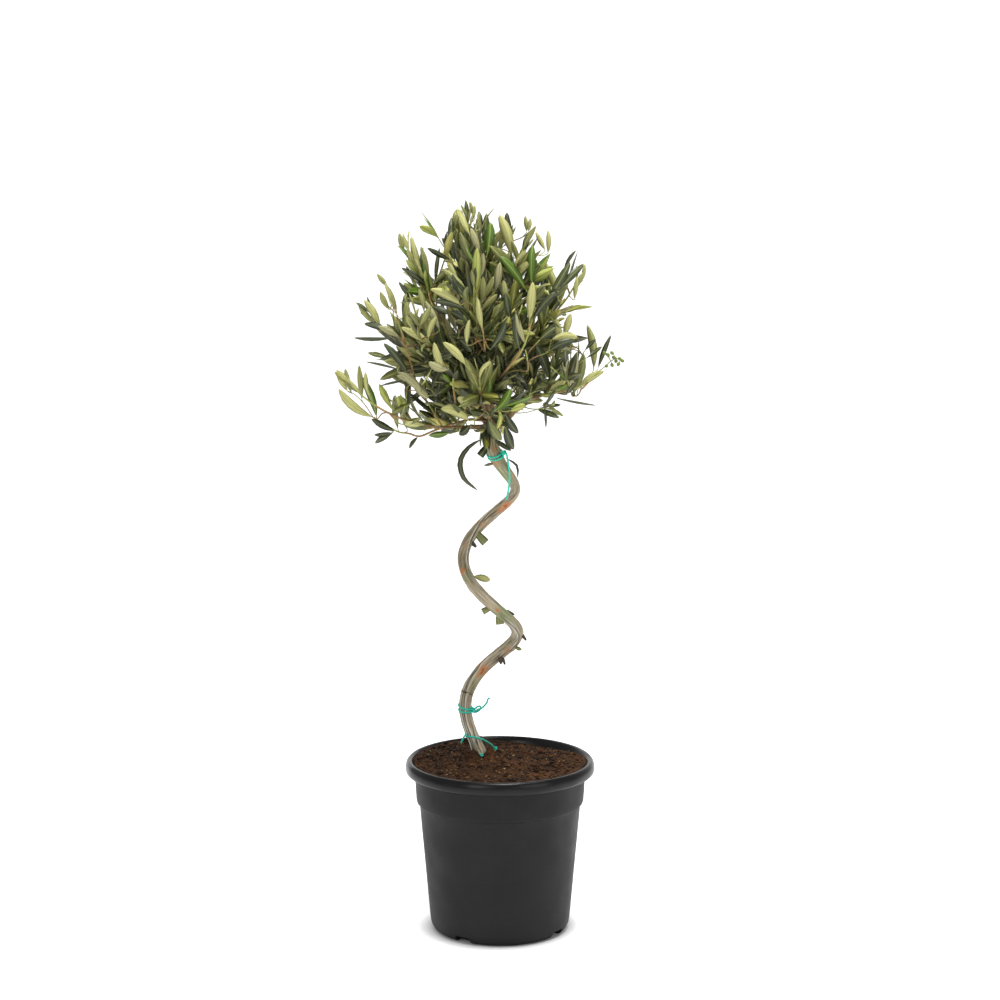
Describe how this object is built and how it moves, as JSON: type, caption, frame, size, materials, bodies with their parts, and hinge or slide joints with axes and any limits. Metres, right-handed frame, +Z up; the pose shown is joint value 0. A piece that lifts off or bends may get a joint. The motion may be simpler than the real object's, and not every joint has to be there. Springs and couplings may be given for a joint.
{
  "type": "potted olive tree",
  "caption": "Small olive tree with a stem wound in a spiral and a round open crown, growing in a black nursery pot filled with soil.",
  "frame": {"origin": "middle of the flat underside of the pot", "axes": "+Z up along the plant, +X to the right and -Y to the front as the plant is seen in its picture"},
  "size_m": [0.3404, 0.2545, 0.8689],
  "materials": {
    "pot": "satin black",
    "soil": "moist crumbly compost",
    "bark": "fissured grey-brown bark",
    "young_bark": "smooth tan bark",
    "foliage": "leathery leaves"
  },
  "bodies": {
    "root": {"pot": "pot", "soil": "soil", "trunk": "bark", "bough_leader": "young_bark", "bough_right": "young_bark", "bough_left_low": "young_bark", "bough_front": "young_bark", "bough_back_left": "young_bark", "bough_back_right": "young_bark", "bough_left": "young_bark", "bough_back_top": "young_bark", "bough_front_top": "young_bark", "bough_right_top": "young_bark", "bough_left_top": "young_bark", "bough_front_left": "young_bark", "bough_front_right": "young_bark", "foliage_top": "foliage", "foliage_left_top": "foliage", "foliage_front_right": "foliage", "foliage_right_top": "foliage", "foliage_left": "foliage", "foliage_left_low": "foliage", "foliage_right_low": "foliage", "foliage_front_low": "foliage", "foliage_front_left": "foliage", "foliage_front_top": "foliage", "foliage_back_left": "foliage", "foliage_back_right": "foliage", "foliage_back_top": "foliage"}
  },
  "joints": []
}
